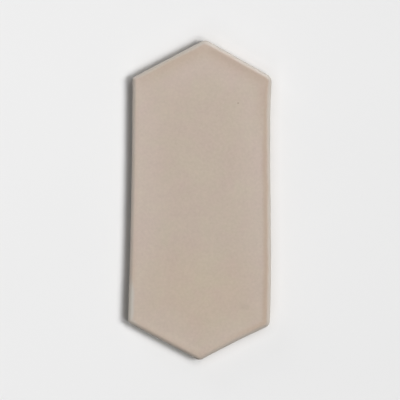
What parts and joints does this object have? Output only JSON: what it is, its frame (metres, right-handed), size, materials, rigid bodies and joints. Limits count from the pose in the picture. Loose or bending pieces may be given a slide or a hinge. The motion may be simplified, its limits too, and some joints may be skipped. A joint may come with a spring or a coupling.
{
  "type": "picket tile",
  "caption": "Long hexagonal ceramic wall tile with a point at each end, a satin glazed face, a rolled rim and a keyed back.",
  "frame": {"origin": "middle of the tile's bounding box, on the level that its back rests on", "axes": "+Z out of the glazed face, +Y along the tile towards its head point, +X to the right as seen from above"},
  "size_m": [0.0782, 0.1737, 0.0095],
  "materials": {
    "satin_glaze": "satin glaze, warm taupe"
  },
  "bodies": {
    "root": {"picket_tile": "satin_glaze"}
  },
  "joints": []
}
